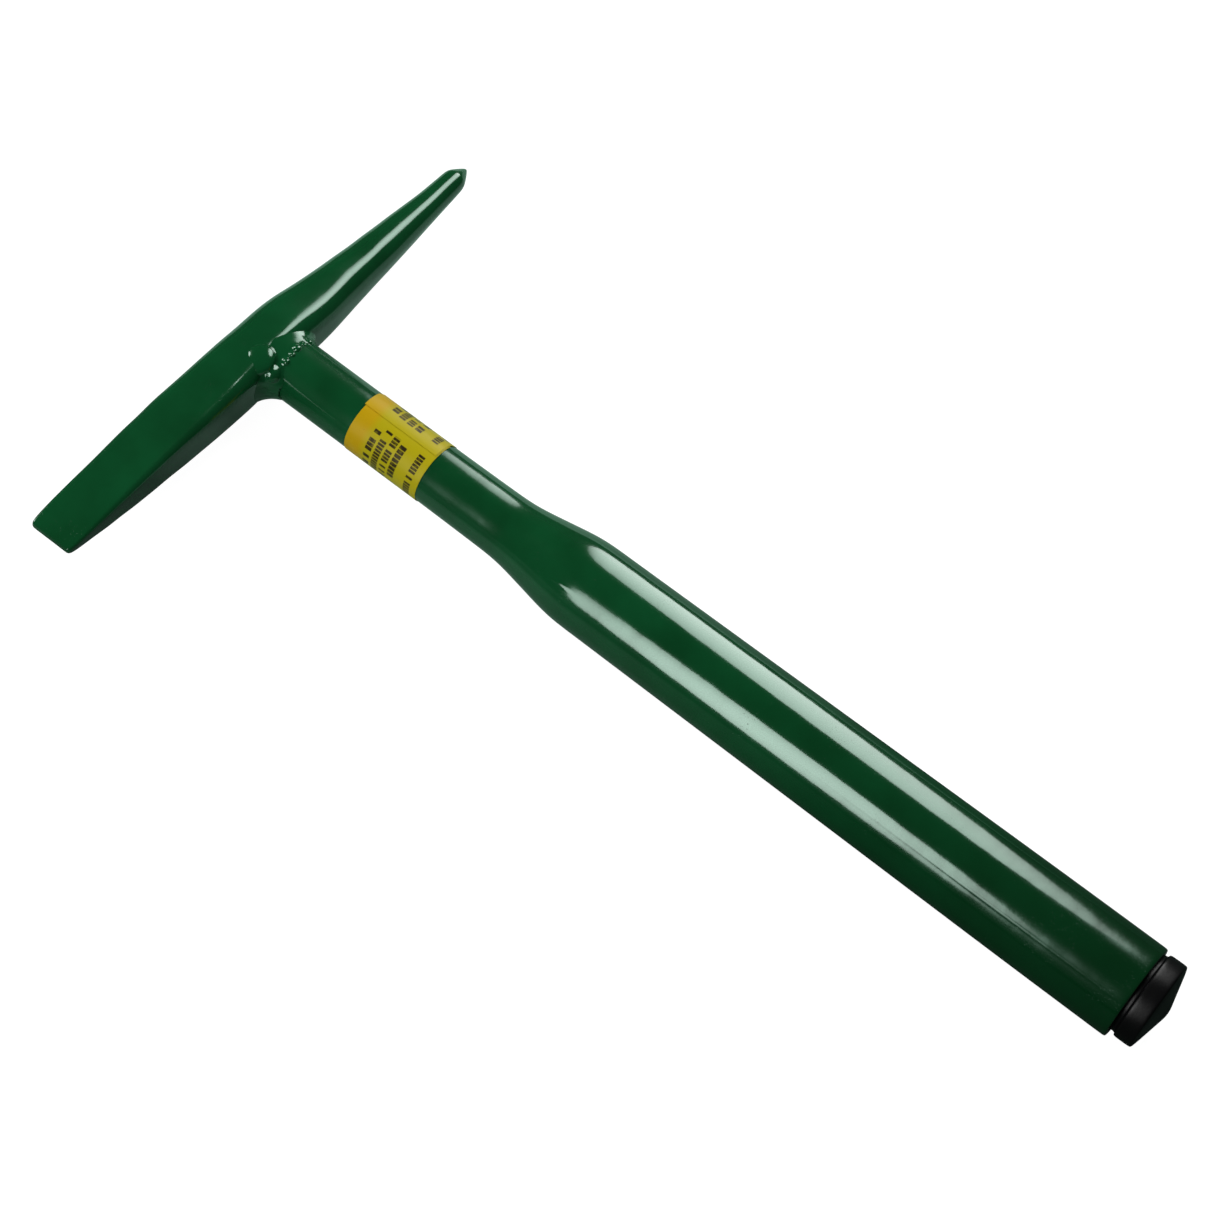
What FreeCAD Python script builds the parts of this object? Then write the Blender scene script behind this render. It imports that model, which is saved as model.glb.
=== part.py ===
import FreeCAD, Part
import math
import os
import Sketcher

# Chipping hammer: a forged head (vertical chisel one way, round point the other) is welded
# across the end of a swaged tube, which is the handle. A plastic plug closes the butt.
# The hammer lies on its side. +X runs down the handle to the butt, +Y along the head to the
# point, and +Z up from the surface it lies on. The origin is the bottom centre of the whole.

doc = FreeCAD.newDocument("chipping_hammer")
sheet = doc.addObject("Spreadsheet::Sheet", "Sizes")

# Each cell's name, its value in millimetres (angles in degrees), and what it measures.
# Handle stations are measured from the butt end, head stations from the handle's axis.
DRIVING_SIZES = [
    ("butt_x", 143.2, "butt end of the tube, from the origin"),
    ("handle_y", -0.8, "handle's axis, from the middle of the head's length"),
    ("grip_dia", 26.9, "outside of the tube at the butt"),
    ("grip_straight", 32.0, "plain stretch of tube at the butt"),
    ("grip_end", 179.5, "end of the grip's slight taper"),
    ("grip_end_dia", 25.05, "outside of the grip where the shoulder starts"),
    ("shoulder_end", 200.0, "end of the swaged shoulder"),
    ("shoulder_end_dia", 17.85, "outside at the end of the shoulder"),
    ("neck_start", 224.0, "start of the plain neck"),
    ("neck_dia", 17.4, "outside of the neck"),
    ("neck_end", 279.1, "tube's end against the head"),
    ("tube_wall", 1.8, "wall of the grip"),
    ("neck_wall", 2.2, "wall of the neck, thicker from swaging"),
    ("butt_round", 0.9, "rolled edge of the butt end"),
    ("shoulder_round", 45.0, "radius at each end of the shoulder"),
    ("head_height", 16.4, "head at the weld, along the handle"),
    ("head_thick", 17.4, "head at the weld, across the cheeks"),
    ("head_corner", 5.0, "rounded edges of the head at the weld"),
    ("eye_chisel", 5.0, "full section, on the chisel's side"),
    ("eye_point", 6.0, "full section, on the point's side"),
    ("chisel_edge", 84.0, "chisel edge"),
    ("edge_height", 12.7, "chisel edge, along the handle"),
    ("edge_thick", 2.4, "chisel edge, across the cheeks"),
    ("edge_corner", 0.9, "rounded edges at the chisel edge"),
    ("arm_mid", 44.0, "middle of the chisel arm"),
    ("arm_height", 15.1, "middle of the chisel arm, along the handle"),
    ("arm_thick", 13.6, "middle of the chisel arm, across the cheeks"),
    ("arm_corner", 2.9, "rounded edges at the middle of the chisel arm"),
    ("arm_root", 21.0, "root of the chisel arm"),
    ("root_height", 16.0, "root of the chisel arm, along the handle"),
    ("root_thick", 17.0, "root of the chisel arm, across the cheeks"),
    ("root_corner", 4.6, "rounded edges at the root of the chisel arm"),
    ("point_root", 27.0, "root of the point arm"),
    ("point_root_dia", 14.5, "point arm at its root"),
    ("point_mid", 52.0, "middle of the point arm"),
    ("point_mid_dia", 10.6, "point arm at its middle"),
    ("point_shoulder", 80.6, "start of the ground point"),
    ("shoulder_dia", 6.8, "point arm where the ground point starts"),
    ("point_tip", 85.6, "end of the point"),
    ("tip_dia", 1.0, "blunt end of the point"),
    ("arm_drop", 0.05, "chisel arm's middle, off the head's centre line toward the butt"),
    ("point_drop", 0.5, "point arm's root and middle, off the centre line toward the butt"),
    ("roundness", 0.47, "corner radius of the point arm, as a share of its size"),
    ("chisel_leg", 3.5, "weld leg on the chisel's side"),
    ("point_leg", 4.2, "weld leg on the point's side"),
    ("weld_toe", 0.4, "thickness of the weld at its toes"),
    ("weld_proud", 0.25, "weld standing proud of the neck on the cheeks"),
    ("weld_wrap", 2.6, "weld on the cheeks, down the neck from the tube's end"),
    ("weld_lap", 5.0, "weld on the cheeks, up the head from the tube's end"),
    ("fillet_width", 15.2, "fillets under the arms, across the cheeks"),
    ("label_start", 227.3, "label's edge nearer the butt"),
    ("label_width", 24.5, "label, along the handle"),
    ("film", 0.15, "thickness of the label's film"),
    ("lap_angle", 40.0, "angle over which the label's ends overlap"),
    ("lap_turn", 145.0, "start of the overlap, from under the neck round by the point's side"),
    ("plug_gap", 1.4, "gap between the tube's end and the plug's head"),
    ("plug_dia", 24.8, "plug's head"),
    ("plug_side", 5.1, "straight side of the plug's head"),
    ("plug_dome", 2.6, "rise of the plug's crowned end"),
    ("crown_dia", 4.4, "flat at the top of the crown, before rounding"),
    ("crown_round", 8.0, "radius that rounds the top of the crown"),
    ("rim_round", 0.6, "rounded rims of the plug's head"),
    ("collar_dia", 22.4, "plug's collar, which centres it in the mouth of the tube"),
    ("core_dia", 19.6, "plug's shank between its fins"),
    ("shank", 20.0, "plug's shank inside the tube"),
    ("hollow_dia", 15.2, "blind hollow in the shank"),
    ("hollow_floor", 3.0, "plastic between the hollow and the back of the plug's head"),
    ("fin_clear", 0.05, "clearance between fins and bore"),
    ("fin_thick", 1.2, "thickness of a fin"),
    ("fin_pitch", 4.0, "distance from fin to fin"),
    ("fin_count", 4, "number of fins"),
]

for row, (alias, value, meaning) in enumerate(DRIVING_SIZES, start=1):
    sheet.set(f"A{row}", meaning)
    sheet.set(f"B{row}", str(value))
    sheet.setAlias(f"B{row}", alias)
doc.recompute()

TOWARD_HEAD = FreeCAD.Rotation(FreeCAD.Vector(0, 0, 1), 180)
TOWARD_BUTT = FreeCAD.Rotation()
AXIS_HEIGHT = "Sizes.grip_dia / 2"


def place(thing, x, turn=TOWARD_BUTT):
    """Puts a piece on the handle's axis at a station along X, given as a formula."""
    thing.Placement = FreeCAD.Placement(FreeCAD.Vector(), turn)
    thing.setExpression(".Placement.Base.x", x)
    thing.setExpression(".Placement.Base.y", "Sizes.handle_y")
    thing.setExpression(".Placement.Base.z", AXIS_HEIGHT)


def new_body(label):
    """PartDesign body named after the piece it is."""
    body = doc.addObject("PartDesign::Body", label)
    body.Label = label
    return body


def origin_feature(body, role):
    """One of the body's own planes or axes, such as XY_Plane."""
    return next(item for item in body.Origin.OriginFeatures if item.Role == role)


def new_sketch(body, name, plane="XY_Plane"):
    """Sketch on one of the body's own origin planes."""
    sketch = body.newObject("Sketcher::SketchObject", name)
    sketch.AttachmentSupport = [(origin_feature(body, plane), "")]
    sketch.MapMode = "FlatFace"
    return sketch


def bind(sketch, constraint, name, formula):
    """Adds a dimension to a sketch and ties it to a formula."""
    index = sketch.addConstraint(constraint)
    sketch.renameConstraint(index, name)
    sketch.setExpression(f".Constraints.{name}", formula)


def outline(sketch, corners):
    """Closed outline of straight lines through corners, each a pair of formulas.

    The lines start as a ring in the first quadrant; the dimensions then draw it to its shape.
    """
    ring_centre = 20
    ring_radius = 10
    count = len(corners)
    start = []
    for i in range(count):
        angle = 2 * math.pi * i / count
        across = ring_centre + ring_radius * math.cos(angle)
        up = ring_centre + ring_radius * math.sin(angle)
        start.append(FreeCAD.Vector(across, up, 0))
    for i in range(count):
        sketch.addGeometry(Part.LineSegment(start[i], start[(i + 1) % count]), False)
    for i in range(count):
        sketch.addConstraint(Sketcher.Constraint("Coincident", i, 2, (i + 1) % count, 1))
    for i, (across, up) in enumerate(corners):
        if across == "0":
            sketch.addConstraint(Sketcher.Constraint("PointOnObject", i, 1, -2))
        else:
            bind(sketch, Sketcher.Constraint("DistanceX", -1, 1, i, 1, start[i].x), f"x{i}", across)
        if up == "0":
            sketch.addConstraint(Sketcher.Constraint("PointOnObject", i, 1, -1))
        else:
            bind(sketch, Sketcher.Constraint("DistanceY", -1, 1, i, 1, start[i].y), f"y{i}", up)


def turned(body, name, corners):
    """Piece turned about the body's own X axis from an outline."""
    sketch = new_sketch(body, f"{name}_outline")
    outline(sketch, corners)
    turn = body.newObject("PartDesign::Revolution", name)
    turn.Profile = sketch
    turn.ReferenceAxis = (sketch, ["H_Axis"])
    turn.Angle = 360
    doc.recompute()
    return turn


CLOSE = 0.01  # two sizes this near each other are the same


def circles_at(shape, station, radius):
    """Names of the circular edges about X at a station and radius."""
    names = []
    for number, edge in enumerate(shape.Edges, start=1):
        curve = edge.Curve
        if not isinstance(curve, Part.Circle):
            continue
        if abs(curve.Center.x - station) < CLOSE and abs(curve.Radius - radius) < CLOSE:
            names.append(f"Edge{number}")
    return names


def round_edges(body, base, name, edges, radius):
    """Fillet on named edges, with its radius tied to a formula."""
    fillet = body.newObject("PartDesign::Fillet", name)
    fillet.Base = (base, edges)
    fillet.setExpression(".Radius", radius)
    doc.recompute()
    return fillet


# Handle tube: one steel tube, its head end swaged down to a neck. Local X runs to the head.
tube = new_body("handle_tube")
place(tube, "Sizes.butt_x", TOWARD_HEAD)
blank = turned(tube, "tube_blank", [
    ("0", "Sizes.grip_dia / 2 - Sizes.tube_wall"),
    ("0", "Sizes.grip_dia / 2"),
    ("Sizes.grip_straight", "Sizes.grip_dia / 2"),
    ("Sizes.grip_end", "Sizes.grip_end_dia / 2"),
    ("Sizes.shoulder_end", "Sizes.shoulder_end_dia / 2"),
    ("Sizes.neck_start", "Sizes.neck_dia / 2"),
    ("Sizes.neck_end", "Sizes.neck_dia / 2"),
    ("Sizes.neck_end", "Sizes.neck_dia / 2 - Sizes.neck_wall"),
    ("Sizes.neck_start", "Sizes.neck_dia / 2 - Sizes.neck_wall"),
    ("Sizes.shoulder_end", "Sizes.shoulder_end_dia / 2 - Sizes.neck_wall"),
    ("Sizes.grip_end", "Sizes.grip_end_dia / 2 - Sizes.tube_wall"),
    ("Sizes.grip_straight", "Sizes.grip_dia / 2 - Sizes.tube_wall"),
])
shoulder_edges = []
for station, outside, wall in (
    (sheet.grip_end, sheet.grip_end_dia, sheet.tube_wall),
    (sheet.shoulder_end, sheet.shoulder_end_dia, sheet.neck_wall),
):
    shoulder_edges += circles_at(blank.Shape, station, outside / 2)
    shoulder_edges += circles_at(blank.Shape, station, outside / 2 - wall)
swaged = round_edges(tube, blank, "swaged_shoulder", shoulder_edges, "Sizes.shoulder_round")
butt_edge = circles_at(swaged.Shape, 0, sheet.grip_dia / 2)
round_edges(tube, swaged, "rolled_butt", butt_edge, "Sizes.butt_round")


# Hammer head: forged bar drawn out to a vertical chisel and a round point.
# Its sections lie across the head, one at each station along it.
head = new_body("hammer_head")
place(head, "Sizes.butt_x - Sizes.neck_end - Sizes.head_height / 2")


def section(name, station, height, thick, corner, drop="0"):
    """Rounded rectangle across the head; height lies along the handle, thick across it.

    It starts at the first half sizes and corner below; the dimensions then set its real ones.
    """
    sketch = new_sketch(head, name, "XZ_Plane")
    sketch.setExpression(".AttachmentOffset.Base.x", drop)
    sketch.setExpression(".AttachmentOffset.Base.z", station)
    half_up = 8.0
    half_out = 9.0
    inset = 3.0
    corners = [(1, 1), (-1, 1), (-1, -1), (1, -1)]
    for i, (side, level) in enumerate(corners):
        next_side, next_level = corners[(i + 1) % 4]
        reach_up = half_up
        reach_out = half_out
        if side != next_side:
            reach_up -= inset
        else:
            reach_out -= inset
        first = FreeCAD.Vector(side * reach_up, level * reach_out, 0)
        last = FreeCAD.Vector(next_side * reach_up, next_level * reach_out, 0)
        sketch.addGeometry(Part.LineSegment(first, last), False)
    for i, (side, level) in enumerate(corners[1:] + corners[:1]):
        centre = FreeCAD.Vector(side * (half_up - inset), level * (half_out - inset), 0)
        circle = Part.Circle(centre, FreeCAD.Vector(0, 0, 1), inset)
        begin = math.pi / 2 * (i + 1)
        sketch.addGeometry(Part.ArcOfCircle(circle, begin, begin + math.pi / 2), False)
    for i in range(4):
        sketch.addConstraint(Sketcher.Constraint("Tangent", i, 2, i + 4, 1))
        sketch.addConstraint(Sketcher.Constraint("Tangent", i + 4, 2, (i + 1) % 4, 1))
        sketch.addConstraint(Sketcher.Constraint("Horizontal" if i % 2 == 0 else "Vertical", i))
    for i in range(3):
        sketch.addConstraint(Sketcher.Constraint("Equal", 4, i + 5))
    sketch.addConstraint(Sketcher.Constraint("Symmetric", 4, 3, 6, 3, -1, 1))
    bind(sketch, Sketcher.Constraint("DistanceX", 1, 1, 3, 1, 2 * half_up), "height", height)
    bind(sketch, Sketcher.Constraint("DistanceY", 2, 1, 0, 1, 2 * half_out), "thick", thick)
    bind(sketch, Sketcher.Constraint("Radius", 4, inset), "corner", corner)
    return sketch


def round_section(name, station, dia, drop="0"):
    """Nearly round section of the point arm."""
    return section(name, station, dia, dia, f"Sizes.roundness * {dia}", drop)


def loft(name, sections, ruled):
    """Solid drawn through sections, straight between them if ruled."""
    solid = head.newObject("PartDesign::AdditiveLoft", name)
    solid.Profile = sections[0]
    solid.Sections = sections[1:]
    solid.Ruled = ruled
    doc.recompute()
    return solid


edge = section("chisel_edge_section", "Sizes.chisel_edge",
               "Sizes.edge_height", "Sizes.edge_thick", "Sizes.edge_corner")
arm = section("chisel_arm_section", "Sizes.arm_mid",
              "Sizes.arm_height", "Sizes.arm_thick", "Sizes.arm_corner", "Sizes.arm_drop")
root = section("chisel_root_section", "Sizes.arm_root",
               "Sizes.root_height", "Sizes.root_thick", "Sizes.root_corner")
eye_a = section("eye_chisel_section", "Sizes.eye_chisel",
                "Sizes.head_height", "Sizes.head_thick", "Sizes.head_corner")
eye_b = section("eye_point_section", "-Sizes.eye_point",
                "Sizes.head_height", "Sizes.head_thick", "Sizes.head_corner")
point_a = round_section("point_root_section", "-Sizes.point_root",
                        "Sizes.point_root_dia", "Sizes.point_drop")
point_b = round_section("point_mid_section", "-Sizes.point_mid",
                        "Sizes.point_mid_dia", "Sizes.point_drop")
point_c = round_section("point_shoulder_section", "-Sizes.point_shoulder", "Sizes.shoulder_dia")
tip = round_section("point_tip_section", "-Sizes.point_tip", "Sizes.tip_dia")
doc.recompute()
loft("chisel_arm", [edge, arm, root, eye_a], False)
loft("eye", [eye_a, eye_b], True)
loft("point_arm", [eye_b, point_a, point_b, point_c], False)
loft("ground_point", [point_c, tip], True)


# Weld: metal in the corner under each arm, hollow on its outside, joined by a bead across
# both cheeks. The tube's and the head's own volumes are cut out of it.
def corner_fillet(name, leg, side):
    """Weld metal between the neck and one arm; side is 1 for the point's and -1 for the chisel's."""
    block = doc.addObject("Part::Box", f"{name}_block")
    block.setExpression(".Length", f"{leg} + Sizes.weld_lap")
    block.setExpression(".Width", f"Sizes.neck_dia / 2 + {leg}")
    block.setExpression(".Placement.Base.x", "Sizes.butt_x - Sizes.neck_end - Sizes.weld_lap")
    outer_y = f"Sizes.handle_y - Sizes.neck_dia / 2 - {leg}" if side < 0 else "Sizes.handle_y"
    block.setExpression(".Placement.Base.y", outer_y)
    scoop = doc.addObject("Part::Cylinder", f"{name}_scoop")
    scoop.setExpression(".Radius", leg)
    scoop.setExpression(".Placement.Base.x", f"Sizes.butt_x - Sizes.neck_end + {leg}")
    scoop.setExpression(
        ".Placement.Base.y", f"Sizes.handle_y + {side} * (Sizes.neck_dia / 2 + {leg} + Sizes.weld_toe)"
    )
    for item in (block, scoop):
        item.setExpression(".Height", "Sizes.fillet_width")
        item.setExpression(".Placement.Base.z", "Sizes.grip_dia / 2 - Sizes.fillet_width / 2")
    fillet = doc.addObject("Part::Cut", name)
    fillet.Base = block
    fillet.Tool = scoop
    return fillet


ALONG_X = FreeCAD.Rotation(FreeCAD.Vector(0, 1, 0), 90)

fillets = doc.addObject("Part::Fuse", "corner_fillets")
fillets.Base = corner_fillet("chisel_fillet", "Sizes.chisel_leg", -1)
fillets.Tool = corner_fillet("point_fillet", "Sizes.point_leg", 1)

cheek_bead = doc.addObject("Part::Cylinder", "cheek_bead")
cheek_bead.setExpression(".Radius", "Sizes.neck_dia / 2 + Sizes.weld_proud")
cheek_bead.setExpression(".Height", "Sizes.weld_wrap + Sizes.weld_lap")
place(cheek_bead, "Sizes.butt_x - Sizes.neck_end - Sizes.weld_lap", ALONG_X)
weld_metal = doc.addObject("Part::Fuse", "weld_metal")
weld_metal.Base = fillets
weld_metal.Tool = cheek_bead

neck_core = doc.addObject("Part::Cylinder", "neck_core")
neck_core.setExpression(".Radius", "Sizes.neck_dia / 2")
neck_core.setExpression(".Height", "Sizes.chisel_leg + Sizes.point_leg")
place(neck_core, "Sizes.butt_x - Sizes.neck_end", ALONG_X)
welded_pieces = doc.addObject("Part::Fuse", "welded_pieces")
welded_pieces.Base = neck_core
welded_pieces.Tool = head

weld = doc.addObject("Part::Cut", "weld_bead")
weld.Label = "weld_bead"
weld.Base = weld_metal
weld.Tool = welded_pieces
doc.recompute()


# End plug: black plastic tube insert with a domed head and a finned, hollow shank.
plug = new_body("end_plug")
place(plug, "Sizes.butt_x")
plug_blank = turned(plug, "plug_blank", [
    ("-Sizes.shank", "Sizes.hollow_dia / 2"),
    ("-Sizes.shank", "Sizes.core_dia / 2"),
    ("-Sizes.plug_gap", "Sizes.core_dia / 2"),
    ("-Sizes.plug_gap", "Sizes.collar_dia / 2"),
    ("Sizes.plug_gap", "Sizes.collar_dia / 2"),
    ("Sizes.plug_gap", "Sizes.plug_dia / 2"),
    ("Sizes.plug_gap + Sizes.plug_side", "Sizes.plug_dia / 2"),
    ("Sizes.plug_gap + Sizes.plug_side + Sizes.plug_dome", "Sizes.crown_dia / 2"),
    ("Sizes.plug_gap + Sizes.plug_side + Sizes.plug_dome", "0"),
    ("-Sizes.hollow_floor", "0"),
    ("-Sizes.hollow_floor", "Sizes.hollow_dia / 2"),
])
head_front = sheet.plug_gap + sheet.plug_side
crown = circles_at(plug_blank.Shape, head_front + sheet.plug_dome, sheet.crown_dia / 2)
crowned = round_edges(plug, plug_blank, "crowned_end", crown, "Sizes.crown_round")
rims = circles_at(crowned.Shape, head_front, sheet.plug_dia / 2)
rims += circles_at(crowned.Shape, sheet.plug_gap, sheet.plug_dia / 2)
round_edges(plug, crowned, "rounded_rims", rims, "Sizes.rim_round")

fin_outline = new_sketch(plug, "fin_outline")
outline(fin_outline, [
    ("-Sizes.fin_pitch", "Sizes.core_dia / 2 - Sizes.fin_thick / 2"),
    ("-Sizes.fin_pitch - Sizes.fin_thick", "Sizes.core_dia / 2 - Sizes.fin_thick / 2"),
    ("-Sizes.fin_pitch - Sizes.fin_thick / 2", "Sizes.grip_dia / 2 - Sizes.tube_wall - Sizes.fin_clear"),
    ("-Sizes.fin_pitch", "Sizes.grip_dia / 2 - Sizes.tube_wall - Sizes.fin_clear"),
])
fin = plug.newObject("PartDesign::Revolution", "fin")
fin.Profile = fin_outline
fin.ReferenceAxis = (fin_outline, ["H_Axis"])
fin.Angle = 360
doc.recompute()
one_fin_volume = plug.Shape.Volume
fins = plug.newObject("PartDesign::LinearPattern", "fins")
fins.Originals = [fin]
fins.Direction = (fin_outline, ["H_Axis"])
fins.Reversed = True
fins.setExpression(".Length", "Sizes.fin_pitch * (Sizes.fin_count - 1)")
fins.setExpression(".Occurrences", "Sizes.fin_count")
plug.Tip = fins
doc.recompute()
if plug.Shape.Volume <= one_fin_volume:
    raise RuntimeError("the fins were not repeated along the shank")


# Label: one strip of film wrapped round the neck, its ends lapped over each other.
def wrap(name, radius, angle, turn):
    """Round stretch of the label's length, standing on the neck's axis."""
    roll = FreeCAD.Rotation(FreeCAD.Vector(0, 0, 1), turn)
    solid = doc.addObject("Part::Cylinder", name)
    solid.setExpression(".Radius", radius)
    solid.setExpression(".Height", "Sizes.label_width")
    solid.setExpression(".Angle", angle)
    place(solid, "Sizes.butt_x - Sizes.label_start - Sizes.label_width", ALONG_X.multiply(roll))
    return solid


layers = doc.addObject("Part::Fuse", "film_layers")
layers.Base = wrap("film_turn", "Sizes.neck_dia / 2 + Sizes.film", "360", 0)
layers.Tool = wrap("film_lap", "Sizes.neck_dia / 2 + 2 * Sizes.film",
                   "Sizes.lap_angle", sheet.lap_turn)
label = doc.addObject("Part::Cut", "label")
label.Label = "label"
label.Base = layers
label.Tool = wrap("film_inside", "Sizes.neck_dia / 2", "360", 0)
doc.recompute()


# Checks, then one STEP file for each piece.
for item in doc.Objects:
    if "Invalid" in item.State or "Error" in item.State:
        raise RuntimeError(f"{item.Name} failed: {item.State}")

pieces = [head, tube, weld, plug, label]
os.makedirs("parts", exist_ok=True)
for piece in pieces:
    if piece.Shape.isNull() or not piece.Shape.isValid():
        raise RuntimeError(f"{piece.Label} has no valid shape")
    piece.Shape.exportStep(os.path.join("parts", f"{piece.Label}.step"))
    box = piece.Shape.BoundBox
    print(
        f"{piece.Label}: {len(piece.Shape.Solids)} solid, {piece.Shape.Volume / 1000:.2f} cm3,"
        f" x {box.XMin:.2f} {box.XMax:.2f}, y {box.YMin:.2f} {box.YMax:.2f},"
        f" z {box.ZMin:.2f} {box.ZMax:.2f}"
    )
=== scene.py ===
import math

import bmesh
import bpy
from mathutils import Matrix, Vector


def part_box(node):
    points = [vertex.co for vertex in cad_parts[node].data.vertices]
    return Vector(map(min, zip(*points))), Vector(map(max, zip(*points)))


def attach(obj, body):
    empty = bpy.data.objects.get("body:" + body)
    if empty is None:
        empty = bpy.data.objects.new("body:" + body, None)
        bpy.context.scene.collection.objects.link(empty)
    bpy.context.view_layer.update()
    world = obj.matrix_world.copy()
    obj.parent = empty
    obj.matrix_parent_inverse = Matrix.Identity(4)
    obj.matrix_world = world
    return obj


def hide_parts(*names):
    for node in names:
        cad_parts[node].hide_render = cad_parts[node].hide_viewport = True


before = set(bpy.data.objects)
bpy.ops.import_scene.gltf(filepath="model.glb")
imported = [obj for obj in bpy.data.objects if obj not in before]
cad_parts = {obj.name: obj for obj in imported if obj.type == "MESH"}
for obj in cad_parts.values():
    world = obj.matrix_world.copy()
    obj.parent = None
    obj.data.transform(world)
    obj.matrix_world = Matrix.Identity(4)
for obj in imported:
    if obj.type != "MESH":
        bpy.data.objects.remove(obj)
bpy.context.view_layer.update()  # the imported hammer, lying flat: handle along X, head along Y
mm = 0.001

# ---------------------------------------------------------------- floor, lights and camera
# The hammer lies on a white table. Two oval softboxes, one each side of the handle, give the long
# reflections down its gloss, and a large panel beyond the head fills in from the front.

tube_low, tube_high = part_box("handle_tube")
butt_x = tube_high.x
grip_radius = (tube_high.z - tube_low.z) / 2
axis_y = (tube_low.y + tube_high.y) / 2
axis_z = (tube_low.z + tube_high.z) / 2
axis = Vector((0, axis_y, axis_z))  # the handle's centre line runs along X through this point

room = bpy.data.worlds.new("dim_room")
room.use_nodes = True
room.node_tree.nodes["Background"].inputs["Color"].default_value = (0.75, 0.85, 0.8, 1)
room.node_tree.nodes["Background"].inputs["Strength"].default_value = 0.05
bpy.context.scene.world = room


def add_node(tree, kind, values=None, links=None, **settings):
    """Adds a shader node, sets its options and socket values, and links its inputs."""
    node = tree.nodes.new(kind)
    for name, value in settings.items():
        setattr(node, name, value)
    for name, value in (values or {}).items():
        node.inputs[name].default_value = value
    for name, source in (links or {}).items():
        tree.links.new(source, node.inputs[name])
    return node


bpy.ops.mesh.primitive_plane_add(size=6)
table = bpy.context.object
table.name = "table"
tabletop = bpy.data.materials.new("white_tabletop")
tabletop.use_nodes = True
tree = tabletop.node_tree
seen_white = tree.nodes["Principled BSDF"]
seen_white.inputs["Base Color"].default_value = (0.12, 0.12, 0.12, 1)
seen_white.inputs["Roughness"].default_value = 0.6
seen_white.inputs["Emission Color"].default_value = (1, 1, 1, 1)
seen_white.inputs["Emission Strength"].default_value = 0.97
# What the gloss paint mirrors of the table is darker than the table itself, most of all by the
# butt and beside the chisel, and a little green.
table_place = add_node(tree, "ShaderNodeTexCoord")
table_sides = add_node(tree, "ShaderNodeSeparateXYZ", None, {"Vector": table_place.outputs["Object"]})
toward_butt = add_node(tree, "ShaderNodeMapRange",
                       {"From Min": -0.11, "From Max": 0.05, "To Min": 0.55, "To Max": 0.06},
                       {"Value": table_sides.outputs["X"]})
by_chisel = add_node(tree, "ShaderNodeVectorMath", {1: (0.45, 1, 0)},
                     {0: table_place.outputs["Object"]}, operation="DOT_PRODUCT")
beside_chisel = add_node(tree, "ShaderNodeMapRange",
                         {"From Min": -0.105, "From Max": -0.07, "To Min": 0.3, "To Max": 1.0},
                         {"Value": by_chisel.outputs["Value"]})
mirrored_grey = add_node(tree, "ShaderNodeMath", None,
                         {0: toward_butt.outputs["Result"], 1: beside_chisel.outputs["Result"]},
                         operation="MULTIPLY")
mirrored_green = add_node(tree, "ShaderNodeVectorMath", {0: (0.66, 1.0, 0.84)},
                          {"Scale": mirrored_grey.outputs[0]}, operation="SCALE")
mirrored = add_node(tree, "ShaderNodeBsdfDiffuse", None, {"Color": mirrored_green.outputs["Vector"]})
ray = add_node(tree, "ShaderNodeLightPath")
by_ray = add_node(tree, "ShaderNodeMixShader", None,
                  {"Fac": ray.outputs["Is Camera Ray"], 1: mirrored.outputs["BSDF"],
                   2: seen_white.outputs["BSDF"]})
tree.links.new(by_ray.outputs["Shader"], tree.nodes["Material Output"].inputs["Surface"])
table.data.materials.append(tabletop)


def softbox(name, place, length, width, radiance, falloff):
    """An oval softbox that faces the hammer, its length level, brightest in the middle."""
    bpy.ops.object.light_add(type="AREA", location=place)
    lamp = bpy.context.object
    lamp.name = name
    lamp.rotation_euler = (axis - Vector(place)).to_track_quat("-Z", "Y").to_euler()
    lamp.data.shape = "ELLIPSE"
    lamp.data.size = length
    lamp.data.size_y = width
    face_area = math.pi / 4 * length * width
    lamp.data.energy = radiance * math.pi * face_area
    lamp.data.use_nodes = True
    glow = lamp.data.node_tree
    surface = add_node(glow, "ShaderNodeNewGeometry")
    centred = add_node(glow, "ShaderNodeMapping", {"Location": (-0.5, -0.25, 0), "Scale": (1, 0.5, 1)},
                       {"Vector": surface.outputs["Parametric"]})
    squared = add_node(glow, "ShaderNodeVectorMath", None,
                       {0: centred.outputs["Vector"], 1: centred.outputs["Vector"]}, operation="DOT_PRODUCT")
    fade = add_node(glow, "ShaderNodeMapRange",
                    {"From Min": 0.25, "From Max": 0.0, "To Min": 0.0, "To Max": 1.0},
                    {"Value": squared.outputs["Value"]})
    shaped = add_node(glow, "ShaderNodeMath", {1: falloff}, {0: fade.outputs["Result"]}, operation="POWER")
    glow.links.new(shaped.outputs["Value"], glow.nodes["Emission"].inputs["Strength"])


softbox("far_softbox", (-0.195, 0.845, 0.72), 0.53, 1.13, 8.8, 0.6)
softbox("near_softbox", (-0.175, -0.96, 0.48), 0.42, 0.88, 10.8, 0.9)
softbox("front_panel", (-1.35, -0.16, 0.75), 0.6, 0.8, 11.0, 0.5)

bpy.ops.object.camera_add(location=(0.1807, -0.4198, 0.7382))
camera = bpy.context.object
camera.rotation_euler = [math.radians(angle) for angle in (31.911, -7.545, 38.109)]
camera.data.lens = 97.86
camera.data.sensor_width = 36
bpy.context.scene.camera = camera
bpy.context.scene.view_settings.view_transform = "Standard"

# ---------------------------------------------------------------- handle tube
# One length of steel tube, swaged down at the front to a slim neck and sprayed with gloss green
# enamel after welding. Its butt is cut square and left open for the plug.

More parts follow.
